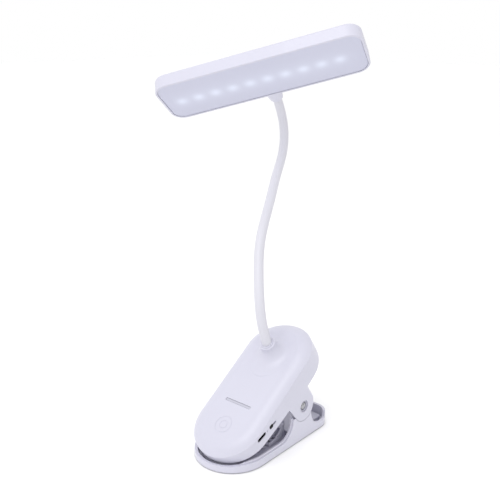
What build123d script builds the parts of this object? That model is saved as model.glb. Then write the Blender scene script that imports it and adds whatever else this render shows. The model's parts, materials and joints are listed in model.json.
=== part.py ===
from build123d import *
import os

# Clip-on reading lamp. Millimetres, +Z up. The lamp stands on the flat underside of its lower arm.
# Origin: on the standing plane, under the hinge axis. X runs along the hinge pin, towards the charging
# port; -Y is the jaw's tip. The housing is drawn in its own frame, u along its top and w square to it,
# with its origin on the hinge axis; the head is drawn in its own frame too, with z away from its face.

os.makedirs("parts", exist_ok=True)

# --- clearances ---
fit_gap = 0.15           # still parts that drop into each other
run_gap = 0.05           # radial gap of a turning or sliding fit
body_gap = 0.3           # between parts of different bodies
wall = 2.2               # moulded walls of both arms

# --- clip: overall ---
clip_width = 60.0
tip_reach = 52.5         # hinge axis to the centre of the round jaw tip
rear_reach = 38.5        # hinge axis to the rear end of the lower arm
hinge_height = 29.5
pin_radius = 2.5
cheek_radius = 12.3      # round end of the housing's hinge cheeks

# --- lower arm ---
floor_thick = 2.4
rim_height = 7.0         # side wall beside the jaw
rear_height = 11.8       # rear wall
rear_corner = 11.0
wall_sweep = 15.5        # radius of the side wall's rise towards the hinge
wall_peak = 23.0         # top of that rise
ear_radius = 8.5
ear_thick = 3.0
ballast_thick = 4.0
ballast_size = (48.0, 40.0)
pad_height = 3.2         # lower jaw pad, above the floor
rib_height = 1.2
rib_count = 7

# --- housing ---
housing_tilt = 34.0      # slope of the housing's top
housing_top = 35.0       # hinge axis to the top face
edge_round = 8.0         # rounding of the top edge
housing_front = -77.5    # ends of the housing along u
housing_rear = 52.0
rear_underside = 11.5    # w of the handle's underside
cover_thick = 2.0
notch = (-13.8, 14.4)    # u, w where the jaw's lower edge meets the cheek
jaw_mid = (-34.0, 16.2)  # u, w on the jaw's lower edge
jaw_tip_clear = 7.5      # height of the jaw's lower edge at the tip, over the standing plane
mound_u = 18.9           # the neck's mound on the top face
mound_height = 12.8
mound_base = 17.5
mound_lip = 6.4
slot_u = -32.1           # indicator window
window_length = 25.0
window_width = 1.8
touch_u = -52.3          # touch key
touch_radius = 7.0
screw_radius = 1.3
screw_head = 2.4
cover_screws_at = ((14.0, -64.0), (21.0, 29.0))   # x to either side, u
boss_gap = 0.9           # cover to the screw bosses

# --- control board, charging port and slide switch, on a deck tilted along the jaw's lower edge ---
deck_u, deck_w = -40.0, 24.6
deck_tilt = -12.0
board_thick = 1.2
board_length = 32.0
board_width = 42.0
board_at = 3.0
port_at = -6.4           # along the deck
port_size = (7.4, 9.0, 3.2)
port_wall = 0.35
switch_at = 7.4
switch_travel = 4.0
knob_size = (3.4, 3.0, 1.9)
switch_size = (7.0, 10.5, 3.1)
pinhole_at = 0.4
pinhole_radius = 0.75

# --- battery ---
cell_size = (30.0, 44.0, 9.0)
cell_u = 16.0
cell_lift = 4.7          # handle's underside to the cell

# --- torsion spring ---
spring_radius = 6.0
spring_wire = 0.9
spring_pitch = 2.2
spring_turns = 5

# --- neck ---
sleeve_radius = 3.9
sleeve_bore = 3.1
core_radius = 3.0
core_bore = 1.7
lead_radius = 1.3
neck_tuck = 10.8         # sleeve inside the mound
core_tuck = 17.5         # core inside the mound and the nut
bends = (                # where one bend of the neck runs into the next
    (-4.5, -15.5, 108.5),
    (-18.0, -1.0, 140.0),
    (-32.0, 22.0, 165.0),
    (-48.0, 54.0, 188.0),
    (-66.0, 87.0, 204.5),
    (-74.5, 101.5, 218.0),
    (-79.0, 104.5, 241.5),
    (-77.0, 92.0, 260.5),
)
joint_bends = (0, 1, 2, 3, 4, 6)   # the bends at which the neck is hinged
nut_radius = 7.0
nut_thick = 3.0

# --- head ---
head_length = 180.0
head_depth = 54.6
head_thick = 12.6
head_corner = 12.3
head_wall = 1.8
head_long = (0.847, 0.463, 0.260)      # direction of the head's length
head_up = (-0.465, 0.407, 0.787)       # direction away from its face
diffuser_thick = 2.0
collar_length = 14.0
collar_base = 6.2
collar_end = 5.0
led_count = 10
led_pitch = 15.6
led_size = (3.5, 2.8, 0.8)
strip_size = (164.0, 30.0, 1.2)
strip_height = 8.0       # face plane to the strip's underside
post_x, post_y = 74.0, 11.0
post_radius = 2.4
clamp_size = (14.0, 9.0, 5.4)

# --- worked out ---
half = clip_width / 2
cheek_inside = half - wall
ear_outside = cheek_inside - body_gap
housing_frame = Plane(
    origin=(0, 0, hinge_height),
    x_dir=(1, 0, 0),
    z_dir=Vector(0, 0, 1).rotate(Axis.X, housing_tilt),
)
deck_frame = Plane(housing_frame * Pos(0, deck_u, deck_w) * Rot(deck_tilt, 0, 0))
mound_axis = housing_frame.z_dir
mound_top = housing_frame.from_local_coords(Vector(0, mound_u, housing_top + mound_height))
neck_points = [mound_top] + [Vector(*point) for point in bends]
head_axis = Plane(origin=(0, 0, 0), x_dir=head_long, z_dir=head_up)
head_frame = Plane(
    origin=neck_points[-1]
    - head_axis.y_dir * (head_depth / 2 + collar_length)
    - head_axis.z_dir * head_thick / 2,
    x_dir=head_long,
    z_dir=head_up,
)


def save(shape, name):
    shape.label = name
    export_step(shape, f"parts/{name}.step")


def box_at(size, centre):
    return Pos(*centre) * Box(*size)


def across(face, low, high):
    """A face drawn in the YZ plane, extruded along X from low to high."""
    return extrude(Pos(low, 0, 0) * face, amount=high - low, dir=(1, 0, 0))


def polygon_yz(*points):
    return Plane.YZ * make_face(Polyline(*points, close=True))


# ---------------------------------------------------------------- housing


def housing_prism(inset, top, rounding):
    """The housing's round-ended block in its own frame, pulled in by inset."""
    length = housing_rear - housing_front - 2 * inset
    centre = (housing_rear + housing_front) / 2
    plan = Pos(0, centre, 0) * Rot(0, 0, 90) * SlotOverall(length, clip_width - 2 * inset)
    low = -cheek_radius - 2
    block = Pos(0, 0, low) * extrude(plan, amount=top - low)
    return fillet(block.faces().sort_by(Axis.Z)[-1].edges(), rounding)


def underside(lift):
    """Points of the housing's lower edge, from the tip to the handle's end, raised by lift."""
    tip = housing_frame.to_local_coords(Vector(0, -tip_reach - half, jaw_tip_clear))
    slope = (jaw_mid[1] - tip.Z) / (jaw_mid[0] - tip.Y)
    beyond = (tip.Y - 10, tip.Z - 10 * slope + lift)
    return [
        beyond,
        (jaw_mid[0], jaw_mid[1] + lift),
        (notch[0], notch[1] + lift),
        (cheek_radius + 1.5, rear_underside + lift),
        (housing_rear + 2, rear_underside + lift),
    ]


def above_underside(lift, top):
    low = underside(lift)
    return polygon_yz(*low, (housing_rear + 2, top), (low[0][0], top))


def cheek_face():
    """One hinge cheek in side view: a round end, with a tangent edge up to the notch."""
    round_end = Circle(cheek_radius)
    back = Polyline((0, 0), (cheek_radius, 0), (cheek_radius, rear_underside + 3), (0, rear_underside + 3), close=True)
    front = make_hull(Circle(cheek_radius).edges() + Circle(0.6).locate(Location((notch[0] + 1.4, notch[1] - 0.2))).edges())
    return Plane.YZ * (round_end + make_face(back) + front)


def upper_housing():
    outer = housing_prism(0, housing_top, edge_round)
    inner = housing_prism(wall, housing_top - wall, edge_round - wall)
    shell = outer & across(above_underside(0, housing_top + 5), -half, half)
    for low in (-half, cheek_inside):
        shell += outer & across(cheek_face(), low, low + wall)
    shell -= inner & across(above_underside(-30, housing_top + 5), -cheek_inside, cheek_inside)
    profile = Polyline((0, housing_top - wall), (mound_base, housing_top - wall), (mound_base, housing_top))
    profile += ThreePointArc(
        (mound_base, housing_top),
        (mound_lip + 3.1, housing_top + 0.28 * mound_height),
        (mound_lip, housing_top + mound_height - 0.8),
    )
    top = housing_top + mound_height
    profile += Polyline((mound_lip, top - 0.8), (mound_lip - 0.8, top), (0, top), (0, housing_top - wall))
    mound = revolve(Plane.XZ * make_face(profile), Axis.Z)
    shell += Pos(0, mound_u, 0) * mound
    sleeve_hole = Cylinder(sleeve_radius + run_gap, neck_tuck * 2)
    shell -= Pos(0, mound_u, top) * sleeve_hole
    shell -= Pos(0, mound_u, housing_top) * Cylinder(core_radius + fit_gap, 3 * mound_height)
    shell -= box_at((window_length, window_width, 3 * wall), (0, slot_u, housing_top))
    for x, u in screw_places():
        low = cover_height(u) + cover_thick + boss_gap
        boss = Pos(x, u, (low + housing_top - wall) / 2) * Cylinder(2.6, housing_top - wall - low)
        shell += boss
        shell -= Pos(x, u, low) * Cylinder(screw_radius, 12)
    shell -= Rot(0, 90, 0) * Cylinder(pin_radius + run_gap, clip_width + 2)
    for side in (-1, 1):
        shell -= Pos(side * half, 0, 0) * Rot(0, 90, 0) * Cylinder(5.0, 2 * 1.2)
    shell = housing_frame * shell
    cut = box_at((2 * wall + 2, port_size[1] + 1, port_size[2] + 0.4), (half, port_at, 0))
    cut += box_at((2 * wall + 2, switch_travel + knob_size[1] + 1.0, knob_size[2] + 0.7), (half, switch_at, 0))
    cut += Pos(half, pinhole_at, 0) * Rot(0, 90, 0) * Cylinder(pinhole_radius + run_gap, 2 * wall + 2)
    return shell - deck_frame * cut


def cover_height(u):
    """w of the cover's underside at u."""
    line = underside(0)
    for (u0, w0), (u1, w1) in zip(line, line[1:]):
        if u0 <= u <= u1:
            return w0 + (w1 - w0) * (u - u0) / (u1 - u0)


def screw_places():
    return [(side * x, u) for x, u in cover_screws_at for side in (-1, 1)]


def housing_cover():
    band = across(above_underside(0, 60) - above_underside(cover_thick, 61), -half, half)
    plate = housing_prism(wall + fit_gap, housing_top - wall, edge_round - wall) & band
    for x, u in screw_places():
        w = cover_height(u)
        plate -= Pos(x, u, w) * Cylinder(screw_radius + fit_gap, 4 * cover_thick)
        plate -= Pos(x, u, w) * Cylinder(screw_head + fit_gap, 2.4)
    return housing_frame * plate


def cover_screws():
    """Four self-tapping screws, heads sunk in the cover."""
    screws = []
    for x, u in screw_places():
        w = cover_height(u) + 0.1
        shank = Pos(x, u, w + 4.0) * Cylinder(screw_radius - run_gap, 6.0)
        head = Pos(x, u, w + 0.5) * Cylinder(screw_head, 1.0)
        slot = box_at((2 * screw_head, 0.6, 0.8), (x, u, w))
        screws.append(housing_frame * (shank + head - slot))
    return Compound(children=screws)


def upper_jaw_pad():
    """Soft pad under the jaw's front, ribbed across."""
    start, stop = -57.0, -37.0
    low = cover_height(start), cover_height(stop)
    face = polygon_yz((start, low[0]), (stop, low[1]), (stop, low[1] - 1.6), (start, low[0] - 1.6))
    pad = across(face, -18, 18)
    for i in range(5):
        u = start + 3 + i * 4
        pad -= Pos(0, u, cover_height(u) - 1.6) * Rot(deck_tilt, 0, 0) * Box(40, 1.4, 1.2)
    return housing_frame * pad


def indicator_lens():
    lens = Box(window_length - 2 * fit_gap, window_width - 2 * fit_gap, wall + 0.4)
    return housing_frame * Pos(0, slot_u, housing_top - wall / 2 - 0.6) * fillet(lens.edges().filter_by(Axis.Z), 0.6)


def touch_electrode():
    """Copper disc bonded under the top wall, with its lead spring down to the board."""
    disc = Cylinder(touch_radius, 0.5)
    stem = Pos(0, 0, -2.0) * Cylinder(1.6, 4.0)
    return housing_frame * Pos(0, touch_u, housing_top - wall - 0.25) * (disc + stem)


def battery_cell():
    cell = fillet(Box(*cell_size).edges().filter_by(Axis.Y), 3.0)
    rest = rear_underside + cell_lift + cell_size[2] / 2
    return housing_frame * Pos(0, cell_u, rest) * cell


# ---------------------------------------------------------------- deck parts

board_top = -port_size[2] / 2


def control_board():
    board = Box(board_width, board_length, board_thick)
    board = fillet(board.edges().filter_by(Axis.Z), 2.0)
    board = Pos(half - wall - 0.4 - board_width / 2, board_at, board_top - board_thick / 2) * board
    for x in (-8.0, 8.0):
        board += box_at((6.0, 6.0, 1.4), (x, board_at + 8.0, board_top + 0.7))
    return deck_frame * board


def charging_port():
    """Metal shell of the charging socket, open towards the side wall."""
    shell = Box(*port_size)
    shell = fillet(shell.edges().filter_by(Axis.X), 1.2)
    hollow = Box(*(size - 2 * port_wall for size in port_size))
    hollow = fillet(hollow.edges().filter_by(Axis.X), 0.9)
    shell -= Pos(2 * port_wall, 0, 0) * hollow
    return deck_frame * Pos(half - 0.5 - port_size[0] / 2, port_at, 0) * shell


def port_tongue():
    length = port_size[0] - 3.0
    back = half - 0.5 - port_size[0] + 2 * port_wall + port_wall + fit_gap
    return deck_frame * Pos(back + length / 2, port_at, 0) * Box(length, 6.0, 0.7)


def switch_body():
    body = Box(*switch_size)
    channel = Box(switch_size[0], switch_travel + knob_size[1] + 1.0, knob_size[2] + 0.7)
    body -= Pos(switch_size[0] - knob_size[0] + 1.2, 0, 0) * channel
    return deck_frame * Pos(half - wall - 0.1 - switch_size[0] / 2, switch_at, 0) * body


def switch_knob():
    knob = Box(*knob_size)
    knob = fillet(knob.edges().filter_by(Axis.X), 0.4)
    start = switch_at - switch_travel / 2
    return deck_frame * Pos(half + 0.4 - knob_size[0] / 2, start, 0) * knob


def status_light_pipe():
    pipe = Rot(0, 90, 0) * Cylinder(pinhole_radius, 5.0)
    return deck_frame * Pos(half - 0.3 - 2.5, pinhole_at, 0) * pipe


# ---------------------------------------------------------------- lower arm


def lower_plan(inset):
    rear = rear_reach - inset
    width = clip_width - 2 * inset
    body = Pos(0, (rear - tip_reach) / 2, 0) * Rectangle(width, rear + tip_reach)
    corners = body.vertices().sort_by(Axis.Y)[-2:]
    return fillet(corners, rear_corner - inset) + Pos(0, -tip_reach, 0) * Circle(width / 2)


def lower_side():
    """The lower arm in side view: low beside the jaw, swept up to the hinge, cut round for the cheek."""
    back = rear_reach + 5
    front = -tip_reach - half - 5
    sweep_end = -14.0
    rise = ThreePointArc(
        (sweep_end - wall_sweep, rim_height),
        (sweep_end - wall_sweep * 0.293, rim_height + wall_sweep * 0.293),
        (sweep_end, rim_height + wall_sweep),
    )
    edge = Polyline((front, 0), (front, rim_height), (sweep_end - wall_sweep, rim_height)) + rise
    edge += Polyline((sweep_end, rim_height + wall_sweep), (sweep_end, wall_peak), (8.5, wall_peak))
    edge += ThreePointArc((8.5, wall_peak), (12.5, rim_height + 4.0), (22.0, rim_height - 0.5))
    edge += Polyline(
        (22.0, rim_height - 0.5),
        (rear_reach - rear_corner + 1.0, rim_height - 0.5),
        (rear_reach - rear_corner + 5.0, rear_height),
        (back, rear_height),
        (back, 0),
        (front, 0),
    )
    face = make_face(edge)
    face -= Pos(0, hinge_height) * Circle(cheek_radius + body_gap)
    return Plane.YZ * face


def lower_arm():
    block = extrude(lower_plan(0), amount=hinge_height)
    block = fillet(block.faces().sort_by(Axis.Z)[0].edges(), 0.5)
    tray = Pos(0, 0, floor_thick) * extrude(lower_plan(wall), amount=hinge_height)
    arm = (block & across(lower_side(), -half, half)) - tray
    ear = Pos(0, hinge_height) * Circle(ear_radius)
    web = Pos(0, hinge_height / 2) * Rectangle(2 * ear_radius, hinge_height)
    ear_face = Plane.YZ * (ear + web)
    for low in (-ear_outside, ear_outside - ear_thick):
        arm += across(ear_face, low, low + ear_thick) & Pos(0, 0, 20 + floor_thick / 2) * Box(60, 60, 40)
    bore = Pos(0, 0, hinge_height) * Rot(0, 90, 0) * Cylinder(pin_radius + 0.02, clip_width)
    return arm - bore


def ballast_plate():
    plate = Box(*ballast_size, ballast_thick)
    plate = fillet(plate.edges().filter_by(Axis.Z), 3.0)
    return Pos(0, 12.0, floor_thick + ballast_thick / 2) * plate


def lower_jaw_pad():
    """Ribbed grip pad that fills the tray under the jaw."""
    inset = wall + 3.0
    plan = lower_plan(inset) & Pos(0, -46.0) * Rectangle(clip_width, 62.0)
    pad = Pos(0, 0, floor_thick) * extrude(plan, amount=pad_height - rib_height)
    top = floor_thick + pad_height - rib_height
    for i in range(rib_count):
        y = -56.0 + 6.0 * i
        pad += box_at((36.0, 2.4, rib_height), (0, y, top + rib_height / 2))
    return pad


def hinge_pin():
    """Steel pin through ears and cheeks, with a domed head in the port-side recess."""
    shank = Rot(0, 90, 0) * Cylinder(pin_radius, clip_width - 1.4)
    dome = Pos(half - 0.5, 0, 0) * Rot(0, 90, 0) * Cylinder(3.6, 0.8)
    dome = fillet(dome.edges().sort_by(Axis.X)[-1], 0.6)
    return Pos(0, 0, hinge_height) * (shank + dome)


def pin_cap():
    """Push-on cap on the pin's plain end."""
    cap = Rot(0, 90, 0) * Cylinder(3.6, 0.8) - Rot(0, 90, 0) * Cylinder(pin_radius, 0.8)
    return Pos(-half + 0.5, 0, hinge_height) * cap


def torsion_spring():
    """Coil round the pin, with one leg in the tray and one under the handle."""
    length = spring_pitch * spring_turns
    coil_path = Helix(spring_pitch, length, spring_radius, center=(0, 0, -length / 2))
    start = Plane(origin=coil_path @ 0, z_dir=coil_path % 0)
    coil = sweep(start * Circle(spring_wire), path=coil_path, is_frenet=True)
    coil = Pos(0, 0, hinge_height) * Rot(0, 90, 0) * coil
    handle_end = housing_frame.from_local_coords(Vector(length / 2, 38.0, rear_underside - spring_wire - 0.5))
    handle_start = housing_frame.from_local_coords(Vector(length / 2, 0.0, spring_radius))
    tray_start = Vector(-length / 2, spring_radius * 0.5, hinge_height - spring_radius * 0.866)
    tray_end = Vector(-length / 2, 31.0, floor_thick + ballast_thick + spring_wire + 0.3)
    legs = []
    for near, far in ((handle_start, handle_end), (tray_start, tray_end)):
        run = Line(near, far)
        legs.append(sweep(Plane(origin=near, z_dir=far - near) * Circle(spring_wire), path=run))
    return Compound(children=[coil] + legs)


# ---------------------------------------------------------------- neck


def neck_path(first, last):
    """Tangent arcs through the neck's points, from one point's index to another's."""
    direction = mound_axis
    edges = []
    for i in range(last):
        arc = TangentArc(neck_points[i], neck_points[i + 1], tangent=direction)
        direction = arc % 1
        if i >= first:
            edges.append(arc)
    return edges


def tube(edges, radius):
    pieces = []
    for edge in edges:
        pieces.append(sweep(Plane(origin=edge @ 0, z_dir=edge % 0) * Circle(radius), path=edge))
    whole = pieces[0]
    for piece in pieces[1:]:
        whole += piece
    return whole


def ball(point, direction, radius):
    """A ball with its poles along direction, so that a tube meets it round a pole."""
    return Plane(origin=point, z_dir=direction) * Sphere(radius)


def neck_pieces(index):
    """Sleeve, core and lead of one stretch of the neck. Each stretch starts in a round socket on a hinge
    centre and ends in the ball of the next one; the first and the last run straight into their bores."""
    joints = [i + 1 for i in joint_bends]
    first = joints[index - 1] if index > 0 else 0
    last = joints[index] if index < len(joints) else len(neck_points) - 1
    edges = neck_path(first, last)
    sleeve_edges, core_edges = list(edges), list(edges)
    if index == 0:
        sleeve_edges.insert(0, Line(mound_top - mound_axis * (neck_tuck - 0.2), mound_top))
        core_edges.insert(0, Line(mound_top - mound_axis * core_tuck, mound_top))
    if index == len(joints):
        entry = edges[-1] @ 1
        inward = -head_axis.y_dir
        sleeve_edges.append(Line(entry, entry + inward * (collar_length - 1)))
        core_edges.append(Line(entry, entry + inward * (collar_length + 12)))
    sleeve = tube(sleeve_edges, sleeve_radius) - tube(sleeve_edges, sleeve_bore)
    bore = tube(core_edges, core_bore)
    core = tube(core_edges, core_radius) - bore
    lead = tube(core_edges, lead_radius)
    if index < len(joints):
        centre, onward = neck_points[last], edges[-1] % 1
        core += ball(centre, onward, sleeve_radius) - bore
        sleeve -= ball(centre, onward, sleeve_radius + 2 * run_gap)
    if index > 0:
        socket = ball(neck_points[first], edges[0] % 0, sleeve_radius + body_gap)
        sleeve -= socket
        core -= socket
        lead -= socket
    return sleeve, core, lead


def neck_nut():
    nut = extrude(RegularPolygon(nut_radius, 6), amount=nut_thick)
    nut -= Cylinder(core_radius + run_gap, 4 * nut_thick)
    return housing_frame * Pos(0, mound_u, housing_top - wall - nut_thick - 0.05) * nut


def neck_bush():
    """Ring in the mound's mouth, round the sleeve."""
    ring = Cylinder(mound_lip - 1.1, 0.6) - Cylinder(sleeve_radius + run_gap, 2)
    return housing_frame * Pos(0, mound_u, housing_top + mound_height + 0.3 + 0.05) * ring


# ---------------------------------------------------------------- head


def head_block(inset, low, high):
    plan = RectangleRounded(head_length - 2 * inset, head_depth - 2 * inset, head_corner - inset)
    return Pos(0, 0, low) * extrude(plan, amount=high - low)


def head_housing():
    block = head_block(0, 0, head_thick)
    block = fillet(block.faces().sort_by(Axis.Z)[-1].edges(), 2.4)
    block -= head_block(head_wall, -1, head_thick - head_wall)
    for x in (-post_x, post_x):
        for y in (-post_y, post_y):
            height = head_thick - head_wall - strip_height - strip_size[2] - 0.05
            post = Pos(x, y, head_thick - head_wall - height / 2) * Cylinder(post_radius, height)
            block += post
            block -= Pos(x, y, head_thick - head_wall - height / 2) * Cylinder(0.8, height)
    mid = Pos(0, head_depth / 2, head_thick / 2) * Rot(-90, 0, 0)
    block += mid * Pos(0, 0, collar_length / 2) * Cone(collar_base, collar_end, collar_length)
    block -= mid * Cylinder(sleeve_radius + run_gap, 2 * collar_length + 2)
    return head_frame * block


def head_diffuser():
    plate = head_block(head_wall + fit_gap, 0.1, 0.1 + diffuser_thick)
    return head_frame * fillet(plate.faces().sort_by(Axis.Z)[0].edges(), 0.4)


def led_strip():
    strip = Box(*strip_size)
    for x in (-post_x, post_x):
        for y in (-post_y, post_y):
            strip -= Pos(x, y, 0) * Cylinder(1.1, 4)
    return head_frame * Pos(0, 0, strip_height + strip_size[2] / 2) * strip


def led_places():
    first = -led_pitch * (led_count - 1) / 2
    return [first + led_pitch * i for i in range(led_count)]


def led_chips():
    chips = []
    for x in led_places():
        chip = Box(*led_size)
        chips.append(head_frame * Pos(x, 0, strip_height - led_size[2] / 2) * chip)
    return Compound(children=chips)


def led_reflector():
    """White tray between the strip and the diffuser, one window for each light."""
    tray = head_block(head_wall + 1.2, strip_height - 1.4, strip_height - 0.1)
    tray -= head_block(head_wall + 2.4, strip_height - 3, strip_height - 0.9)
    for x in led_places():
        tray -= box_at((led_size[0] + 1.0, led_size[1] + 1.0, 10), (x, 0, strip_height))
    for x in (-post_x, post_x):
        for y in (-post_y, post_y):
            tray -= Pos(x, y, strip_height) * Cylinder(2.4, 10)
    notch_depth = head_depth / 2 - strip_size[1] / 2 + 3.0
    tray -= box_at((clamp_size[0] + 3.0, notch_depth, 20), (0, head_depth / 2 - notch_depth / 2, strip_height))
    return head_frame * tray


def strip_screws():
    screws = []
    for x in (-post_x, post_x):
        for y in (-post_y, post_y):
            head = Pos(x, y, strip_height - 0.5) * Cylinder(1.9, 0.9)
            shank = Pos(x, y, strip_height + 0.5) * Cylinder(0.75, 3.0)
            screws.append(head_frame * (head + shank))
    return Compound(children=screws)


def neck_clamp():
    """Block that holds the end of the core inside the head."""
    block = Box(*clamp_size)
    bore = Rot(90, 0, 0) * Cylinder(core_radius + run_gap, 2 * clamp_size[1])
    top = head_thick - head_wall
    block -= Pos(0, 0, head_thick / 2 - top + clamp_size[2] / 2) * bore
    return head_frame * Pos(0, head_depth / 2 - head_wall - 0.5 - clamp_size[1] / 2, top - clamp_size[2] / 2) * block


save(upper_housing(), "upper_housing")
save(housing_cover(), "housing_cover")
save(cover_screws(), "cover_screws")
save(upper_jaw_pad(), "upper_jaw_pad")
save(indicator_lens(), "indicator_lens")
save(touch_electrode(), "touch_electrode")
save(battery_cell(), "battery_cell")
save(control_board(), "control_board")
save(charging_port(), "charging_port")
save(port_tongue(), "port_tongue")
save(switch_body(), "switch_body")
save(switch_knob(), "switch_knob")
save(status_light_pipe(), "status_light_pipe")
save(lower_arm(), "lower_arm")
save(ballast_plate(), "ballast_plate")
save(lower_jaw_pad(), "lower_jaw_pad")
save(hinge_pin(), "hinge_pin")
save(pin_cap(), "pin_cap")
save(torsion_spring(), "torsion_spring")
save(neck_nut(), "neck_nut")
save(neck_bush(), "neck_bush")
for index in range(len(joint_bends) + 1):
    sleeve, core, lead = neck_pieces(index)
    save(sleeve, f"neck_sleeve_{index}")
    save(core, f"neck_core_{index}")
    save(lead, f"neck_lead_{index}")
save(head_housing(), "head_housing")
save(head_diffuser(), "head_diffuser")
save(led_strip(), "led_strip")
save(led_chips(), "led_chips")
save(led_reflector(), "led_reflector")
save(strip_screws(), "strip_screws")
save(neck_clamp(), "neck_clamp")
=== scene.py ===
import json
import math
import bmesh
import bpy
from mathutils import Matrix, Vector


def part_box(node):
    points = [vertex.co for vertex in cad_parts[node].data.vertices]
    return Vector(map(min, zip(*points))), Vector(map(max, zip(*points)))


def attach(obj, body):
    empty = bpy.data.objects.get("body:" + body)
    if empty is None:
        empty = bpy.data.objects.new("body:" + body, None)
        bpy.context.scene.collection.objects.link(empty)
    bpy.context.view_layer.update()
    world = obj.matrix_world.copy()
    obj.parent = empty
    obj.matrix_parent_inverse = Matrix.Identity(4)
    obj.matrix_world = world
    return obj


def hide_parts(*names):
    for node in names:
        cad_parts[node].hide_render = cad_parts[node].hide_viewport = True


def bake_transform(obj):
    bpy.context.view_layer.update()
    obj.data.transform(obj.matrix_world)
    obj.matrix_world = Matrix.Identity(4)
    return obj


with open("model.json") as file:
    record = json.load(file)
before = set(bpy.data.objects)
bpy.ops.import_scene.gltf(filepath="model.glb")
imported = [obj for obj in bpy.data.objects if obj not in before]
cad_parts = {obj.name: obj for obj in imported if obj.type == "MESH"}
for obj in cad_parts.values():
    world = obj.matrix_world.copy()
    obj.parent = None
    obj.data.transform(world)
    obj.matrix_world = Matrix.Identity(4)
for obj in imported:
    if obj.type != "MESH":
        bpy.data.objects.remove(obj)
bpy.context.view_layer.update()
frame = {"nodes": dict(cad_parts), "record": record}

nodes = frame["nodes"]
MM = 0.001

# Sizes and places in millimetres, in the shared frame.
HALF = 30.0              # half the clip's width
WALL = 2.2               # wall of the housing and of the lower arm
TILT = 34.0              # slope of the housing's top, degrees
TOP = 35.0               # hinge axis to the housing's top
CHEEK = 12.3             # radius of the housing round the hinge
PIN_SHANK = 2.5          # radius
REACH, REAR = 52.5, 38.5               # hinge axis to the jaw tip's centre, and to the arm's rear
HEAD = (179.8, 54.4, 12.5)             # length, width and thickness
HEAD_CORNER = 12.3       # radius of its corners in plan
HEAD_LONG, HEAD_UP = Vector((0.847, 0.463, 0.260)), Vector((-0.465, 0.407, 0.787))
COVER_MIDDLE = 1.1       # head's lower rim to the middle of its cover
LED_PITCH = 15.6         # between two lights
LED_DEPTH = (3.0, 1.5)   # how far the lights' depth behind the cover moves their glow on it
COLLAR_X = 1.5           # the collar's place along the head's wall
SLEEVE = 4.05            # outer radius of the neck
FAR = 120.0              # past every face of the clip, for what is cut away
BENDS = (                # the neck's route from the mound to the collar
    (-4.5, -15.5, 108.5), (-18.0, -1.0, 140.0), (-32.0, 22.0, 165.0), (-48.0, 54.0, 188.0),
    (-66.0, 87.0, 204.5), (-74.5, 101.5, 218.0), (-79.0, 104.5, 241.5), (-77.0, 92.0, 260.5),
)
HINGED = (1, 2, 3, 4, 5, 7)            # joints among the route's points, the mound's being 0
NECK_SMOOTHING = 420                   # passes of averaging over the route's arcs
CAMERA_AT = (0.3496, -0.4384, 0.3216)      # metres
CAMERA_DOWN, CAMERA_TURN = 16.6, 40.7      # degrees
FLOOR_HALF = 6.0                           # metres


def centre_of(node):
    low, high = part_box(node)
    return (low + high) / 2


def rigid(origin, x_dir, z_dir):
    """Matrix of a frame with that origin in metres and those axes."""
    z = z_dir.normalized()
    x = (x_dir - z * x_dir.dot(z)).normalized()
    y = z.cross(x)
    return Matrix.Translation(origin) @ Matrix((x, y, z)).transposed().to_4x4()


def turned(angle, axis):
    """Matrix of a turn by that many degrees about X, Y or Z."""
    return Matrix.Rotation(math.radians(angle), 4, axis)


pin_centre = centre_of("hinge_pin")
pin_centre.x = 0.0
hinge_z = pin_centre.z / MM
housing_frame = Matrix.Translation(pin_centre) @ turned(TILT, "X")
head_centre = centre_of("head_diffuser")
head_frame = rigid(head_centre - HEAD_UP.normalized() * COVER_MIDDLE * MM, HEAD_LONG, HEAD_UP)
world_frame = Matrix.Identity(4)

# ---------------------------------------------------------------- camera, light and floor


def make_camera():
    data = bpy.data.cameras.new("camera")
    data.sensor_width = 36.0
    data.lens = 54.0
    camera = bpy.data.objects.new("camera", data)
    camera.location = CAMERA_AT
    camera.rotation_euler = (math.radians(90 - CAMERA_DOWN), 0.0, math.radians(CAMERA_TURN))
    bpy.context.scene.collection.objects.link(camera)
    bpy.context.scene.camera = camera


def area_light(name, location, target, size, watts):
    data = bpy.data.lights.new(name, "AREA")
    data.shape = "RECTANGLE"
    data.size, data.size_y = size
    data.energy = watts
    light = bpy.data.objects.new(name, data)
    light.location = location
    light.rotation_mode = "QUATERNION"
    light.rotation_quaternion = (Vector(target) - Vector(location)).to_track_quat("-Z", "Y")
    bpy.context.scene.collection.objects.link(light)


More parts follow.
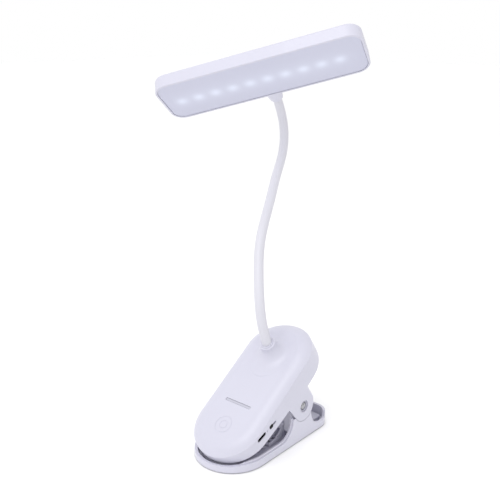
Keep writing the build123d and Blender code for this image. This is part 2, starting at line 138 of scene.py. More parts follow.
def make_stage():
    """A white studio, a little brighter from one side, with a white floor under the object."""
    scene = bpy.context.scene
    scene.view_settings.view_transform = "Standard"
    world = bpy.data.worlds.new("studio")
    world.use_nodes = True
    tree = world.node_tree
    background = tree.nodes["Background"]
    background.inputs[0].default_value = (1.0, 1.0, 1.0, 1.0)
    scene.world = world
    coords = tree.nodes.new("ShaderNodeTexCoord")
    towards = tree.nodes.new("ShaderNodeVectorMath")
    towards.operation = "DOT_PRODUCT"
    towards.inputs[1].default_value = Vector((-0.60, -0.30, 0.74)).normalized()
    tree.links.new(coords.outputs["Generated"], towards.inputs[0])
    soft_side = tree.nodes.new("ShaderNodeMapRange")
    soft_side.inputs["From Min"].default_value = -1.0
    soft_side.inputs["To Min"].default_value = 0.74
    soft_side.inputs["To Max"].default_value = 1.14
    tree.links.new(towards.outputs["Value"], soft_side.inputs["Value"])
    rays = tree.nodes.new("ShaderNodeLightPath")
    seen = tree.nodes.new("ShaderNodeMix")
    seen.inputs["B"].default_value = 1.0
    tree.links.new(rays.outputs["Is Camera Ray"], seen.inputs["Factor"])
    tree.links.new(soft_side.outputs["Result"], seen.inputs["A"])
    tree.links.new(seen.outputs["Result"], background.inputs[1])
    area_light("key", (0.1, -0.5, 1.0), (0, 0, 0.1), (0.6, 0.6), 3.0)
    area_light("side", (0.9, 0.1, 0.45), (0, 0, 0.03), (0.14, 0.14), 0.16)
    mesh = bpy.data.meshes.new("floor")
    corners = [(x * FLOOR_HALF, y * FLOOR_HALF, 0) for x, y in ((-1, -1), (1, -1), (1, 1), (-1, 1))]
    mesh.from_pydata(corners, [], [(0, 1, 2, 3)])
    floor = bpy.data.objects.new("floor", mesh)
    floor.location.z = -0.0001
    scene.collection.objects.link(floor)
    mesh.materials.append(surface("floor_white", (0.98, 0.98, 0.98), roughness=0.95))


# ---------------------------------------------------------------- materials


def surface(name, colour, roughness=0.4, metallic=0.0, grain=0.0, grain_scale=900.0, mottle=0.02,
            coat=0.0, glow=None, specular=0.5, edge=0.04, crevice_shade=0.3):
    """A Principled material: broad colour and gloss variation, a fine moulded grain, slightly lighter convex
    edges and painted shade that darkens the colour in crevices.
    """
    material = bpy.data.materials.new(name)
    material.use_nodes = True
    tree = material.node_tree
    shader = tree.nodes["Principled BSDF"]
    coords = tree.nodes.new("ShaderNodeTexCoord")
    broad = tree.nodes.new("ShaderNodeTexNoise")
    broad.inputs["Scale"].default_value = 28.0
    broad.inputs["Detail"].default_value = 5.0
    tree.links.new(coords.outputs["Object"], broad.inputs["Vector"])
    tint = tree.nodes.new("ShaderNodeMix")
    tint.data_type = "RGBA"
    tint.inputs["A"].default_value = (*[c * (1 - mottle) for c in colour], 1)
    tint.inputs["B"].default_value = (*[min(1, c * (1 + mottle)) for c in colour], 1)
    tree.links.new(broad.outputs["Fac"], tint.inputs["Factor"])
    geometry = tree.nodes.new("ShaderNodeNewGeometry")
    # Convex edges, found by pointiness, are made a little lighter, by the share edge.
    edge_mask = tree.nodes.new("ShaderNodeMapRange")
    edge_mask.inputs["From Min"].default_value = 0.52
    edge_mask.inputs["From Max"].default_value = 0.62
    edge_mask.inputs["To Max"].default_value = edge
    tree.links.new(geometry.outputs["Pointiness"], edge_mask.inputs["Value"])
    edge_lightened = tree.nodes.new("ShaderNodeMix")
    edge_lightened.data_type = "RGBA"
    edge_lightened.inputs["B"].default_value = (*[min(1, c * 1.15 + 0.03) for c in colour], 1)
    tree.links.new(edge_mask.outputs["Result"], edge_lightened.inputs["Factor"])
    tree.links.new(tint.outputs["Result"], edge_lightened.inputs["A"])
    # Painted shade: the colour is darkened where ambient occlusion finds a crevice, by the share
    # crevice_shade.
    crevice = tree.nodes.new("ShaderNodeAmbientOcclusion")
    crevice.inputs["Distance"].default_value = 0.0035
    crevice.samples = 8
    painted_shade_map = tree.nodes.new("ShaderNodeMapRange")
    painted_shade_map.inputs["From Min"].default_value = 0.15
    painted_shade_map.inputs["From Max"].default_value = 0.75
    painted_shade_map.inputs["To Min"].default_value = 1.0 - crevice_shade
    tree.links.new(crevice.outputs["AO"], painted_shade_map.inputs["Value"])
    shaded_colour = tree.nodes.new("ShaderNodeVectorMath")
    shaded_colour.operation = "SCALE"
    tree.links.new(edge_lightened.outputs["Result"], shaded_colour.inputs[0])
    tree.links.new(painted_shade_map.outputs["Result"], shaded_colour.inputs["Scale"])
    tree.links.new(shaded_colour.outputs[0], shader.inputs["Base Color"])
    gloss = tree.nodes.new("ShaderNodeMapRange")
    gloss.inputs["To Min"].default_value = max(0.02, roughness - 0.06)
    gloss.inputs["To Max"].default_value = min(1.0, roughness + 0.06)
    tree.links.new(broad.outputs["Fac"], gloss.inputs["Value"])
    tree.links.new(gloss.outputs["Result"], shader.inputs["Roughness"])
    if grain > 0:
        fine = tree.nodes.new("ShaderNodeTexNoise")
        fine.inputs["Scale"].default_value = grain_scale
        fine.inputs["Detail"].default_value = 2.0
        tree.links.new(coords.outputs["Object"], fine.inputs["Vector"])
        bump = tree.nodes.new("ShaderNodeBump")
        bump.inputs["Strength"].default_value = grain
        bump.inputs["Distance"].default_value = 0.0002
        tree.links.new(fine.outputs["Fac"], bump.inputs["Height"])
        tree.links.new(bump.outputs["Normal"], shader.inputs["Normal"])
    shader.inputs["Metallic"].default_value = metallic
    shader.inputs["Coat Weight"].default_value = coat
    shader.inputs["Specular IOR Level"].default_value = specular
    if glow:
        add_led_glow(tree, shader, coords, *glow)
    return material


def add_led_glow(tree, shader, coords, colour, base, peak, radius):
    """Ten soft spots along the head, as the lights look through the frosted cover."""
    def math_node(kind, *values):
        node = tree.nodes.new("ShaderNodeMath")
        node.operation = kind
        for socket, value in zip(node.inputs, values):
            if isinstance(value, (int, float)):
                socket.default_value = value
            else:
                tree.links.new(value, socket)
        return node.outputs[0]

    def along_axis(axis):
        node = tree.nodes.new("ShaderNodeVectorMath")
        node.operation = "DOT_PRODUCT"
        tree.links.new(coords.outputs["Object"], node.inputs[0])
        node.inputs[1].default_value = axis
        return math_node("SUBTRACT", node.outputs["Value"], head_frame.translation.dot(axis))

    def bell(squared, width):
        return math_node("EXPONENT", math_node("MULTIPLY", squared, -1.0 / (width * MM) ** 2))

    x = math_node("ADD", along_axis(head_frame.col[0].to_3d()), LED_DEPTH[0] * MM)
    y = math_node("SUBTRACT", along_axis(head_frame.col[1].to_3d()), LED_DEPTH[1] * MM)
    pitch = LED_PITCH * MM
    step = math_node("FRACT", math_node("DIVIDE", x, pitch))
    step = math_node("MULTIPLY", math_node("SUBTRACT", step, 0.5), pitch)
    inside = math_node("LESS_THAN", math_node("ABSOLUTE", x), 5 * pitch)
    y_squared = math_node("POWER", y, 2.0)
    spot = bell(math_node("ADD", math_node("POWER", step, 2.0), y_squared), radius)
    row = math_node("SUBTRACT", 1.0, math_node("POWER", math_node("DIVIDE", x, 5.6 * pitch), 6.0))
    halo = math_node("MULTIPLY", bell(y_squared, 2.4 * radius), math_node("MAXIMUM", row, 0.0))
    spot = math_node("ADD", math_node("MULTIPLY", spot, inside), math_node("MULTIPLY", halo, 0.3))
    shader.inputs["Emission Color"].default_value = (*colour, 1)
    strength = math_node("ADD", math_node("MULTIPLY", spot, peak), base)
    tree.links.new(strength, shader.inputs["Emission Strength"])


# crevice_shade sets how strongly painted shade darkens each colour in its crevices.
MATERIALS = {
    "shell_white": dict(colour=(0.582, 0.578, 0.674), roughness=0.36, grain=0.10, coat=0.10),
    # A slightly lighter copy of shell_white: painted light lifting the lower arm, which lies under the
    # housing.
    "shell_lower": dict(colour=(0.60, 0.594, 0.69), roughness=0.36, grain=0.10, coat=0.10),
    "sleeve_white": dict(colour=(0.63, 0.625, 0.685), roughness=0.4, grain=0.06, crevice_shade=0.15),
    "diffuser": dict(colour=(0.512, 0.515, 0.63), roughness=0.5, grain=0.1, crevice_shade=0.1,
                     glow=((0.80, 0.92, 1.0), 0.03, 0.17, 4.8)),
    "core_steel": dict(colour=(0.55, 0.55, 0.57), roughness=0.35, metallic=1.0, grain=0.2),
    "lead_grey": dict(colour=(0.45, 0.45, 0.48), roughness=0.6, grain=0.2),
    # Near black, far darker than the steel it stands for: painted shade for the depth of the charging slot.
    "port_steel": dict(colour=(0.05, 0.05, 0.055), roughness=0.4, metallic=1.0, grain=0.1, crevice_shade=0.9),
    "pin_chrome": dict(colour=(0.38, 0.38, 0.40), roughness=0.12, metallic=1.0, grain=0.05, crevice_shade=0.8),
    "spring_steel": dict(colour=(0.40, 0.40, 0.42), roughness=0.3, metallic=1.0, grain=0.2),
    "pad_grey": dict(colour=(0.43, 0.42, 0.52), roughness=0.6, grain=0.4, grain_scale=1500.0, crevice_shade=0.55),
    "board_green": dict(colour=(0.03, 0.16, 0.08), roughness=0.35, grain=0.1),
    "cell_foil": dict(colour=(0.6, 0.61, 0.64), roughness=0.4, metallic=1.0, grain=0.3),
    "ballast": dict(colour=(0.48, 0.475, 0.56), roughness=0.5, metallic=0.3, grain=0.5),
    "screw_steel": dict(colour=(0.4, 0.4, 0.42), roughness=0.3, metallic=1.0, grain=0.1),
    "copper": dict(colour=(0.72, 0.42, 0.22), roughness=0.3, metallic=1.0, grain=0.1),
    "black_plastic": dict(colour=(0.008, 0.008, 0.010), roughness=0.5, grain=0.3, specular=0.2),
    "clear_plastic": dict(colour=(0.50, 0.50, 0.58), roughness=0.3, grain=0.05),
    "strip_white": dict(colour=(0.85, 0.85, 0.83), roughness=0.5, grain=0.1),
    "led_phosphor": dict(colour=(0.9, 0.8, 0.4), roughness=0.5, grain=0.1),
}
materials = {name: surface(name, **values) for name, values in MATERIALS.items()}
for entry in frame["record"]["subparts"]:
    mesh = nodes[entry["node"]].data
    mesh.materials.clear()
    mesh.materials.append(materials[entry["material_slot"]])

# ---------------------------------------------------------------- mesh tools, in millimetres


def mesh_object(name, build):
    """A new object whose mesh is drawn by build(bmesh)."""
    work = bmesh.new()
    build(work)
    bmesh.ops.recalc_face_normals(work, faces=work.faces)
    mesh = bpy.data.meshes.new(name)
    work.to_mesh(mesh)
    work.free()
    piece = bpy.data.objects.new(name, mesh)
    bpy.context.scene.collection.objects.link(piece)
    return piece


def skin(work, rings, capped=True, looped=False):
    """Quads between rings of points; caps on the first and last ring, or the last joined to the first."""
    rows = [[work.verts.new(point) for point in ring] for ring in rings]
    pairs = list(zip(rows, rows[1:])) + ([(rows[-1], rows[0])] if looped else [])
    for low, high in pairs:
        for i in range(len(low)):
            j = (i + 1) % len(low)
            work.faces.new((low[i], low[j], high[j], high[i]))
    if capped and not looped:
        work.faces.new(rows[0])
        work.faces.new(rows[-1])


def outline(arcs, inset, height, steps=20):
    """Ring of points round a plan made of arcs (centre x, y, radius, from, to), pulled in by inset."""
    ring = []
    for x, y, radius, start, stop in arcs:
        for i in range(steps + 1):
            angle = math.radians(start + (stop - start) * i / steps)
            reach = radius - inset
            ring.append((x + reach * math.cos(angle), y + reach * math.sin(angle), height))
    return ring


def stack(name, arcs, levels, steps=20):
    """Solid with that plan, through levels of (inset, height)."""
    return mesh_object(name, lambda work: skin(work, [outline(arcs, d, h, steps) for d, h in levels]))


def quarter(inset0, height0, inset1, height1, steps, convex=True):
    """Levels round a quarter ellipse, upright at its start and flat at its end (or the other way round)."""
    levels = []
    for i in range(steps + 1):
        t = math.pi / 2 * i / steps
        a, b = (1 - math.cos(t), math.sin(t)) if convex else (math.sin(t), 1 - math.cos(t))
        levels.append((inset0 + (inset1 - inset0) * a, height0 + (height1 - height0) * b))
    return levels


def lathe(name, profile, matrix, steps=64):
    """Solid of revolution about z; the profile (radius, height) has its ends capped or closes on itself."""
    looped = profile[0] == profile[-1]
    rows = profile[:-1] if looped else profile

    def build(work):
        rings = []
        for radius, height in rows:
            angles = [2 * math.pi * i / steps for i in range(steps)]
            rings.append([(radius * math.cos(a), radius * math.sin(a), height) for a in angles])
        skin(work, rings, looped=looped)

    piece = mesh_object(name, build)
    piece.data.transform(matrix)
    return piece


def prism(name, points, low=-FAR, high=FAR):
    """Polygon of (y, z) points extruded along x from low to high."""
    return mesh_object(name, lambda work: skin(work, [[(x, y, z) for y, z in points] for x in (low, high)]))


def arc_points(y, z, radius, start, stop, steps=16):
    """Points along an arc about (y, z), from start to stop in degrees."""
    angles = [math.radians(start + (stop - start) * i / steps) for i in range(steps + 1)]
    return [(y + radius * math.cos(a), z + radius * math.sin(a)) for a in angles]


def rounded(width, height, corner, steps=6):
    """Points of a rounded rectangle about the origin."""
    w, h = width / 2 - corner, height / 2 - corner
    points = []
    for x, y, start in ((w, h, 0), (-w, h, 90), (-w, -h, 180), (w, -h, 270)):
        points += arc_points(x, y, corner, start, start + 90, steps)
    return points


def slab(name, width, height, corner, low, high, matrix, edge=0.0):
    """Rounded rectangle (local x, y) from low to high along local z, its far edge eased."""
    def build(work):
        levels = [(0, low), (0, high)] if edge == 0 else [(0, low)] + quarter(0, high - edge, edge, high, 4)
        rings = []
        for inset, z in levels:
            corner_now = max(0.05, corner - inset)
            rings.append([(x, y, z) for x, y in rounded(width - 2 * inset, height - 2 * inset, corner_now)])
        skin(work, rings)

    piece = mesh_object(name, build)
    piece.data.transform(matrix)
    return piece


def bake(piece):
    """Replaces the mesh with the one its modifiers make."""
    evaluated = piece.evaluated_get(bpy.context.evaluated_depsgraph_get())
    mesh = bpy.data.meshes.new_from_object(evaluated)
    piece.modifiers.clear()
    piece.data = mesh


def combine(piece, operation, *others):
    """Adds the others to the piece or takes them from it; they are used up."""
    for other in others:
        modifier = piece.modifiers.new("combine", "BOOLEAN")
        modifier.operation = operation
        modifier.solver = "EXACT"
        modifier.object = other
        bake(piece)
        bpy.data.objects.remove(other)
    return piece


def join(piece, *others):
    """One object with the meshes of several."""
    work = bmesh.new()
    for part in (piece, *others):
        work.from_mesh(part.data)
    work.to_mesh(piece.data)
    work.free()
    for other in others:
        bpy.data.objects.remove(other)
    return piece


def settle(piece, matrix, slot, body, replaced, bevel=0.0, look=None):
    """Eases the edges, shades, scales to metres, puts the piece in its frame and hands it to a body."""
    piece.data.polygons.foreach_set("use_smooth", [True] * len(piece.data.polygons))
    if bevel:
        modifier = piece.modifiers.new("edges", "BEVEL")
        modifier.width = bevel
        modifier.segments = 2
        modifier.limit_method = "ANGLE"
        modifier.angle_limit = math.radians(30)
        modifier.use_clamp_overlap = True
        bake(piece)
    piece.data.set_sharp_from_angle(angle=math.radians(40))
    weighted = piece.modifiers.new("normals", "WEIGHTED_NORMAL")
    weighted.keep_sharp = True
    weighted.weight = 90
    bake(piece)
    piece.data.transform(matrix @ Matrix.Scale(MM, 4))
    piece.data.materials.clear()
    piece.data.materials.append(materials[look or slot])
    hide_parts(*replaced)
    if body:
        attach(piece, body)


# ---------------------------------------------------------------- housing

# Heights w are measured square to the top and places u along it, both from the hinge axis.
HOUSING_ENDS = (-77.5, 52.0)
SKIRT = -15.0            # lowest height of the walls before their lower edge is cut
NOTCH, JAW_MID = (-13.8, 14.4), (-34.0, 16.2)
HANDLE_W = 11.5          # the handle's underside
JAW_TIP_Z = 6.1          # the lower edge at the tip, over the floor
EDGE_WIDTH, EDGE_DROP = 10.5, 4.8      # the rounding between side wall and top
EDGE_START = 0.7         # angle at which the rounding leaves the side wall, radians
DROOP, DROOP_FROM = 2.6, 22.0          # the top's fall at the rear end, and where it starts
MOUND_U, MOUND_TOP = 18.9, 47.8
MOUND_FOOT, MOUND_LIP, MOUND_BORE = 17.5, 6.0, 4.9     # radii
MOUND_STRETCH = 0.35     # the foot reaches this much further towards the tip
WINDOW, WINDOW_U = (25.4, 2.3, 1.1), -32.1     # width, height and corner, as in PORT and SLOT
KEY_U, GROOVE = -52.3, 0.16            # the touch key's middle, and the depth of its rings
DECK = (-40.0, 24.6, -12.0)            # u, w and tilt of the line that the port and switch lie on
PORT, PORT_AT = (9.8, 3.2, 1.5), -6.4
SLOT, SLOT_AT = (8.4, 1.9, 0.9), 7.4
KNOB_AT, PINHOLE_AT = 5.4, 0.4
RECESS, PIN_SEAT = (5.0, 1.3), (3.8, 2.0)      # radius and depth in the cheeks


def housing_arcs():
    front, rear = HOUSING_ENDS
    return [(0, rear - HALF, HALF, 0, 180), (0, front + HALF, HALF, 180, 360)]


def jaw_line():
    """The housing's lower edge in its own frame: level over the tip, then rising to the notch."""
    points = []
    for y, rise in ((-FAR, 0.0), (-77.0, 0.0), (-72.0, 1.0), (-67.0, 2.8)):
        z = JAW_TIP_Z + rise
        local = housing_frame.inverted() @ Vector((0, y * MM, z * MM)) / MM
        points.append((local.y, local.z))
    return points + [JAW_MID, NOTCH]


def below_housing():
    """The room under the housing, round its hinge cheeks, in side view."""
    reach = math.hypot(*NOTCH)
    touch = math.degrees(math.atan2(NOTCH[1], NOTCH[0]) + math.acos(CHEEK / reach))
    points = [(-FAR, -FAR), *jaw_line()]
    points += arc_points(0, 0, CHEEK, touch, 360, 40)
    points += [(CHEEK, HANDLE_W), (FAR, HANDLE_W), (FAR, -FAR)]
    return points


def deck_matrix(along):
    """From a slab's frame to the housing's: its z runs out through the port-side wall."""
    u, w, tilt = DECK
    deck = Matrix.Translation((0, u, w)) @ turned(tilt, "X")
    return deck @ Matrix.Translation((HALF, along, 0)) @ turned(90, "Y") @ turned(90, "Z")


def mound_profile():
    """From the mound's foot up to its lip and down into the bore."""
    top = MOUND_TOP
    a, b = Vector((MOUND_FOOT, TOP)), Vector((10.6, TOP))
    c, d = Vector((7.4, TOP + 3.6)), Vector((6.1, top - 1.9))
    profile = [(MOUND_FOOT, TOP - 1.0)]
    for i in range(17):
        t = i / 16
        point = a * (1 - t) ** 3 + b * 3 * t * (1 - t) ** 2 + c * 3 * t * t * (1 - t) + d * t ** 3
        profile.append(tuple(point))
    profile += [(6.45, top - 1.7), (6.6, top - 1.2), (6.5, top - 0.6), (6.1, top - 0.15), (5.5, top)]
    profile += [(MOUND_BORE, top - 0.1), (MOUND_BORE, TOP - 1.0)]
    return profile + [profile[0]]


def shoulder(steps=16):
    """Levels of the broad rounding between side wall and top; it leaves the wall at a soft crease."""
    levels = []
    for i in range(steps + 1):
        t = EDGE_START + (math.pi / 2 - EDGE_START) * i / steps
        across = 1 - math.cos(t) / math.cos(EDGE_START)
        rise = (math.sin(t) - math.sin(EDGE_START)) / (1 - math.sin(EDGE_START))
        levels.append((EDGE_WIDTH * across, TOP - EDGE_DROP * (1 - rise)))
    return levels


def droop(piece):
    """Lets the top fall away a little towards the rear end."""
    for vertex in piece.data.vertices:
        if vertex.co.z > 0 and vertex.co.y > DROOP_FROM:
            share = (vertex.co.y - DROOP_FROM) / (HOUSING_ENDS[1] - DROOP_FROM)
            vertex.co.z -= DROOP * share ** 2


def make_mound():
    """The neck's stub on the top, its foot drawn out towards the tip."""
    mound = lathe("mound", mound_profile(), Matrix.Identity(4), 96)
    for vertex in mound.data.vertices:
        x, y, z = vertex.co
        low = 1 - max(0.0, z - TOP) / (MOUND_TOP - TOP)
        if y < 0 and math.hypot(x, y) > MOUND_LIP:
            vertex.co.y *= 1 + MOUND_STRETCH * low * low
    mound.data.transform(Matrix.Translation((0, MOUND_U, 0)))
    droop(mound)
    return mound


def groove(radius, wide, steps):
    """Ring to cut into the top at the touch key, a little wider than that at its mouth."""
    low, high = TOP - GROOVE, TOP + 1
    profile = [(radius + wide / 2, low), (radius + wide / 2 + 0.3, high)]
    profile += [(radius - wide / 2 - 0.3, high), (radius - wide / 2, low)]
    return lathe("groove", profile + profile[:1], Matrix.Translation((0, KEY_U, 0)), steps)


def make_housing():
    shell = stack("housing_shell", housing_arcs(), [(0, SKIRT)] + shoulder(), 40)
    droop(shell)
    inner = [(WALL, 2 * SKIRT)] + quarter(WALL, TOP - EDGE_DROP - 1, EDGE_WIDTH, TOP - WALL, 8)
    hollow = stack("hollow", housing_arcs(), inner, 40)
    droop(hollow)
    bore = lathe("bore", [(MOUND_BORE, 0.0), (MOUND_BORE, 60.0)], Matrix.Translation((0, MOUND_U, 0)))
    combine(shell, "DIFFERENCE", hollow, prism("below", below_housing()), bore)
    combine(shell, "UNION", make_mound())
    lying = Matrix.Translation((0, WINDOW_U, 0))
    window = slab("window", *WINDOW, TOP - 5, TOP + 5, lying)
    combine(shell, "DIFFERENCE", window, groove(6.85, 0.9, 64), groove(3.25, 0.7, 48))
    port = slab("port", *PORT, -8, 8, deck_matrix(PORT_AT))
    slot = slab("slot", *SLOT, -8, 8, deck_matrix(SLOT_AT))
    pinhole = lathe("pinhole", [(0.8, -8.0), (0.8, 8.0)], deck_matrix(PINHOLE_AT), 24)
    combine(shell, "DIFFERENCE", port, slot, pinhole)
    for side in (-1, 1):
        across = Matrix.Translation((side * HALF, 0, 0)) @ turned(90, "Y")
        for radius, depth in (RECESS, PIN_SEAT):
            combine(shell, "DIFFERENCE", lathe("recess", [(radius, -depth), (radius, depth)], across))
    hole = PIN_SHANK + 0.05
    combine(shell, "DIFFERENCE", lathe("pin_hole", [(hole, -40.0), (hole, 40.0)], turned(90, "Y")))
    settle(shell, housing_frame, "shell_white", "housing", ["upper_housing"], bevel=0.35)
    lens = slab("indicator_visual", 25.1, 2.0, 0.95, TOP - WALL, TOP - 0.25, lying, edge=0.2)
    settle(lens, housing_frame, "clear_plastic", "housing", ["indicator_lens"])


def make_port_and_switch():
    # The lining takes port_steel, near black: painted shade inside the slot.
    tube = slab("port_visual", 9.0, 2.7, 1.3, -7.9, -0.5, deck_matrix(PORT_AT))
    combine(tube, "DIFFERENCE", slab("port_hollow", 8.3, 2.0, 0.95, -7.2, 5.0, deck_matrix(PORT_AT)))
    settle(tube, housing_frame, "pin_chrome", "housing", ["charging_port"], bevel=0.08, look="port_steel")
    place = deck_matrix(KNOB_AT)
    knob = slab("switch_knob_visual", 3.9, 3.1, 0.8, 0.02, 0.26, place, edge=0.15)
    parts = [slab("stem", 2.6, 1.6, 0.5, -3.0, 0.1, place)]
    for i in (-1, 0, 1):
        at = place @ Matrix.Translation((0.9 * i, 0, 0))
        parts.append(slab("ridge", 0.4, 2.1, 0.15, 0.1, 0.39, at, edge=0.1))
    settle(join(knob, *parts), housing_frame, "black_plastic", "switch_knob", ["switch_knob"])


# ---------------------------------------------------------------- lower arm

FLOOR = 2.4              # thickness of the tray's floor
RIM, TIP_RIM = 7.0, 5.9  # the rim is lowest at the tip
REAR_TOP, CORNER = 11.8, 13.0
SWEEP_Y, SWEEP = -29.5, 15.5           # where the rim sweeps up to the hinge, and the sweep's radius
PEAK = 23.0              # top of the side walls
LIP, LIP_TIP = 8.8, 5.8
LIP_SWEEP, LIP_PEAK = 13.7, 24.2
WEB_REAR, WEB_THICK = -14.0, 1.4


def arm_arcs():
    x, y = HALF - CORNER, REAR - CORNER
    return [(x, y, CORNER, 0, 90), (-x, y, CORNER, 90, 180), (0, -REACH, HALF, 180, 360)]


def above_arm():
    """The room over the lower arm's side walls, in side view."""
    points = [(-FAR, FAR), (-FAR, TIP_RIM), (-78.0, TIP_RIM), (-70.0, RIM - 0.3), (-62.0, RIM)]
    points += arc_points(SWEEP_Y, RIM + SWEEP, SWEEP, -90, 0)
    points += [(SWEEP_Y + SWEEP, PEAK)]
    recess = CHEEK + 0.3
    start = 180 + math.degrees(math.asin((hinge_z - PEAK) / recess))
    points += arc_points(0, hinge_z, recess, start, 316, 24)
    points += [(9.6, 19.0), (10.9, 14.6), (13.2, 10.9), (16.8, 8.1), (22.0, 6.5), (28.5, 6.5)]
    points += [(29.6, 7.2), (31.2, 10.6), (32.5, REAR_TOP), (FAR, REAR_TOP), (FAR, FAR)]
    return points


def make_lip():
    """Thin inner lip, proud of the rim beside the jaw and up the sweep to the hinge."""
    lip = stack("lip", arm_arcs(), [(1.1, FLOOR), (1.1, 50.0)], 32)
    combine(lip, "DIFFERENCE", stack("inside", arm_arcs(), [(2.4, 0.0), (2.4, 60.0)], 32))
    over = [(-FAR, FAR), (-FAR, LIP_TIP), (-76.0, LIP_TIP), (-70.0, 6.9), (-66.0, 8.0), (-62.0, LIP)]
    over += arc_points(SWEEP_Y, LIP + LIP_SWEEP, LIP_SWEEP, -90, 0)
    over += [(SWEEP_Y + LIP_SWEEP, LIP_PEAK), (-13.6, LIP_PEAK), (-13.6, -5), (FAR, -5), (FAR, FAR)]
    return combine(lip, "DIFFERENCE", prism("over", over))


def make_lower_arm():
    levels = quarter(1.2, 0.0, 0.0, 1.2, 4, convex=False) + [(0, 40.0)]
    arm = stack("lower_arm_shell", arm_arcs(), levels, 32)
    tray = [(WALL + 0.8, FLOOR), (WALL, FLOOR + 0.8), (WALL, 50.0)]
    combine(arm, "DIFFERENCE", stack("tray", arm_arcs(), tray, 32), prism("above", above_arm()))
    combine(arm, "UNION", make_lip())
    web = [(-33.0, FLOOR - 1), (WEB_REAR, FLOOR - 1), (WEB_REAR, 18.5), (-15.4, 17.6), (-19.0, 11.4)]
    web += [(-24.5, 7.6), (-33.0, 6.2)]
    for x in (-20.0, -14.0, 14.0, 20.0):
        combine(arm, "UNION", prism("web", web, x - WEB_THICK / 2, x + WEB_THICK / 2))
    eye = arc_points(0, hinge_z, 8.5, 0, 180, 24) + [(-8.5, FLOOR - 1), (8.5, FLOOR - 1)]
    for low, high in ((-27.5, -24.5), (24.5, 27.5)):
        combine(arm, "UNION", prism("ear", eye, low, high))
    hole = PIN_SHANK + 0.02
    through = Matrix.Translation((0, 0, hinge_z)) @ turned(90, "Y")
    combine(arm, "DIFFERENCE", lathe("pin_hole", [(hole, -40.0), (hole, 40.0)], through))
    # shell_lower is the lighter copy of the shell colour: painted light on the lower arm.
    settle(arm, world_frame, "shell_lower", "lower_arm", ["lower_arm"], bevel=0.3)


# ---------------------------------------------------------------- head

HEAD_RIM = 1.8           # wall round the cover
COVER_EDGE = HEAD_RIM + 0.15
COLLAR_WIDTH = 1.16      # the collar is this much wider than it is deep


def head_arcs():
    x, y = HEAD[0] / 2 - HEAD_CORNER, HEAD[1] / 2 - HEAD_CORNER
    return [(x, y, HEAD_CORNER, 0, 90), (-x, y, HEAD_CORNER, 90, 180),
            (-x, -y, HEAD_CORNER, 180, 270), (x, -y, HEAD_CORNER, 270, 360)]


def make_head():
    levels = quarter(0.6, 0.0, 0.0, 0.6, 4, convex=False) + quarter(0, HEAD[2] - 2.4, 2.4, HEAD[2], 8)
    shell = stack("head_shell", head_arcs(), levels, 16)
    hollow = [(HEAD_RIM, -2.0), (HEAD_RIM, HEAD[2] - HEAD_RIM)]
    combine(shell, "DIFFERENCE", stack("hollow", head_arcs(), hollow, 16))
    out = Matrix.Translation((COLLAR_X, HEAD[1] / 2, HEAD[2] / 2)) @ turned(-90, "X")
    profile = [(6.2, -1.5), (6.2, 1.0), (6.1, 3.0), (5.95, 5.0), (5.7, 8.0)]
    profile += [(5.45, 11.0), (5.3, 12.6), (5.1, 13.5), (4.6, 14.0)]
    wide = out @ Matrix.Scale(COLLAR_WIDTH, 4, (1, 0, 0))
    combine(shell, "UNION", lathe("collar", profile, wide, 48))
    bore = SLEEVE + 0.15
    combine(shell, "DIFFERENCE", lathe("bore", [(bore, -12.0), (bore, 30.0)], out, 48))
    settle(shell, head_frame, "shell_white", "head", ["head_housing"], bevel=0.25)
    levels = [(COVER_EDGE + 0.4, 0.45), (COVER_EDGE + 0.12, 0.52), (COVER_EDGE, 0.8), (COVER_EDGE, 2.1)]
    cover = stack("diffuser_plate", head_arcs(), levels, 16)
    settle(cover, head_frame, "diffuser", "head", ["head_diffuser"])


# ---------------------------------------------------------------- neck

STILL_START, STILL_END = 12, 16        # spots a millimetre apart that smoothing leaves alone
NECK_LAYERS = (
    ("sleeve", SLEEVE, 3.15, "sleeve_white"), ("core", 3.0, 1.7, "core_steel"), ("lead", 1.3, 0, "lead_grey"),
)


def neck_line():
    """Centre line as (point, direction, distance along it), and the neck's joints as indices into it."""
    start = housing_frame @ (Vector((0, MOUND_U, MOUND_TOP)) * MM) / MM
    points = [start] + [Vector(bend) for bend in BENDS[:5]]
    points += [Vector(bend) + HEAD_LONG.normalized() * COLLAR_X for bend in BENDS[5:]]
    heading = (housing_frame.to_3x3() @ Vector((0, 0, 1))).normalized()
    spots = [start - heading * (10.0 - i) for i in range(10)]
    joints = []
    for index, (near, far) in enumerate(zip(points, points[1:])):
        if index in HINGED:
            joints.append(len(spots))
        chord = far - near
        axis = heading.cross(chord)
        angle = 2 * math.atan2(axis.length, heading.dot(chord))
        axis.normalize()
        radius = chord.length / (2 * math.sin(angle / 2))
        side = axis.cross(heading)
        count = round(radius * angle)
        for i in range(count):
            turn = angle * i / count
            spots.append(near + heading * radius * math.sin(turn) + side * radius * (1 - math.cos(turn)))
        heading = (Matrix.Rotation(angle, 3, axis) @ heading).normalized()
    spots += [points[-1] + heading * i for i in range(14)]
    for _ in range(NECK_SMOOTHING):
        middle = [(a + b * 2 + c) / 4 for a, b, c in zip(spots, spots[1:], spots[2:])]
        spots = spots[:STILL_START] + middle[STILL_START - 1:1 - STILL_END] + spots[-STILL_END:]
    line, travelled = [], 0.0
    for i, spot in enumerate(spots):
        before, after = spots[max(0, i - 1)], spots[min(len(spots) - 1, i + 1)]
        travelled += (spot - before).length
        line.append((spot, (after - before).normalized(), travelled))
    return line, joints


def tube_rings(line, radius, steps=32):
    """Rings round a centre line, without twist."""
    side = line[0][1].cross(Vector((1, 0.3, 0.1))).normalized()
    rings = []
    for point, onward, _ in line:
        side = (side - onward * side.dot(onward)).normalized()
        other = onward.cross(side)
        angles = [2 * math.pi * i / steps for i in range(steps)]
        rings.append([point + (side * math.cos(a) + other * math.sin(a)) * radius for a in angles])
    return rings


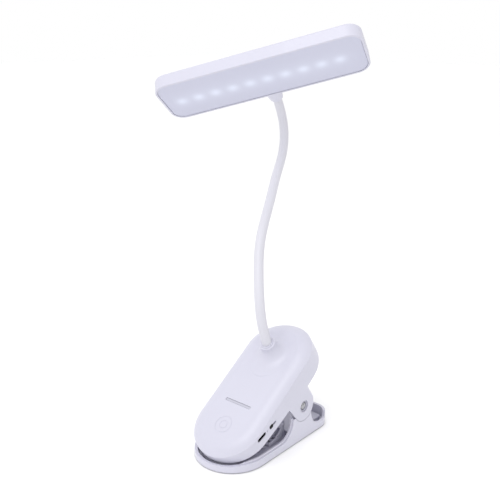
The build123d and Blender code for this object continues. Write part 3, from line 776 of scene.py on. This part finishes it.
def make_neck():
    """Sleeve, core and lead, each cut half way between two joints, so that each piece spans one of them."""
    line, joints = neck_line()
    cuts = [0] + [(a + b) // 2 for a, b in zip(joints, joints[1:])] + [len(line) - 1]
    for layer, outer, bore, slot in NECK_LAYERS:
        outside = tube_rings(line, outer)
        inside = tube_rings(line, bore)
        for k, joint in enumerate(joints):
            first, last = cuts[k], cuts[k + 1] + 1
            rings = outside[first:last] + (inside[first:last][::-1] if bore else [])
            name = f"neck_{layer}_{k}_visual"
            piece = mesh_object(name, lambda work: skin(work, rings, looped=bool(bore)))
            replaced = [f"neck_{layer}_{k}"] + ([f"neck_{layer}_6"] if k == 5 else [])
            settle(piece, world_frame, slot, None, replaced)
            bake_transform(piece)


# ---------------------------------------------------------------- small parts


def make_pin():
    """The hinge pin with its domed head on the port side."""
    across = Matrix.Translation((0, 0, hinge_z)) @ turned(90, "Y")
    head = [(0.02, 29.95), (0.8, 29.9), (1.6, 29.74), (2.3, 29.48), (2.8, 29.16), (3.1, 28.75)]
    head += [(PIN_SHANK, 28.75), (PIN_SHANK, -29.2), (2.0, -29.5), (0.02, -29.5)]
    pin = lathe("hinge_pin_visual", head, across, 48)
    settle(pin, world_frame, "pin_chrome", "lower_arm", ["hinge_pin"])


def make_spring():
    """One bent wire: tray leg, coil round the pin, handle leg; it winds between the two arms."""
    radius, wire, length, turns = 6.0, 0.9, 11.0, 4
    tray = Vector((0, 31.0, FLOOR + 4.0 + wire + 0.3 - hinge_z))
    handle = housing_frame.to_3x3() @ Vector((0, 38.0, HANDLE_W - wire - 0.5))

    def tangent(end, sign):
        return math.atan2(end.z, end.y) + sign * math.acos(radius / math.hypot(end.y, end.z))

    start, stop = tangent(tray, -1), tangent(handle, 1) - 2 * math.pi * (turns + 1)
    count = 36 * turns
    coil = []
    for i in range(count + 1):
        angle = start + (stop - start) * i / count
        coil.append(Vector((length * (i / count - 0.5), radius * math.cos(angle), radius * math.sin(angle))))
    tray.x, handle.x = -length / 2, length / 2
    spots = [tray + (coil[0] - tray) * i / 12 for i in range(12)] + coil
    spots += [coil[-1] + (handle - coil[-1]) * i / 12 for i in range(1, 13)]
    spots = [spot + Vector((0, 0, hinge_z)) for spot in spots]
    line = []
    for i, spot in enumerate(spots):
        before, after = spots[max(0, i - 1)], spots[min(len(spots) - 1, i + 1)]
        line.append((spot, (after - before).normalized(), 0.0))
    spring = mesh_object("torsion_spring_visual", lambda work: skin(work, tube_rings(line, wire, 12)))
    settle(spring, world_frame, "spring_steel", None, ["torsion_spring"])
    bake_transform(spring)


def make_lower_pad():
    """Grip pad: a plate in the tray with rounded cross ribs."""
    levels = [(5.2, FLOOR), (5.2, 4.0)] + quarter(5.2, 4.0, 5.6, 4.4, 3)
    pad = stack("lower_pad_visual", arm_arcs(), levels, 24)
    combine(pad, "DIFFERENCE", prism("behind", [(-15.0, 0), (FAR, 0), (FAR, 20), (-15.0, 20)]))
    ribs = []
    for i in range(8):
        at = Matrix.Translation((0, -62.0 + 6.0 * i, 0))
        ribs.append(slab("rib", 40.0, 3.0, 1.2, 3.8, 5.8, at, edge=0.6))
    settle(join(pad, *ribs), world_frame, "pad_grey", "lower_arm", ["lower_jaw_pad"])


make_port_and_switch()
make_spring()
make_lower_pad()
make_housing()
make_lower_arm()
make_head()
make_neck()
make_pin()
make_camera()
make_stage()
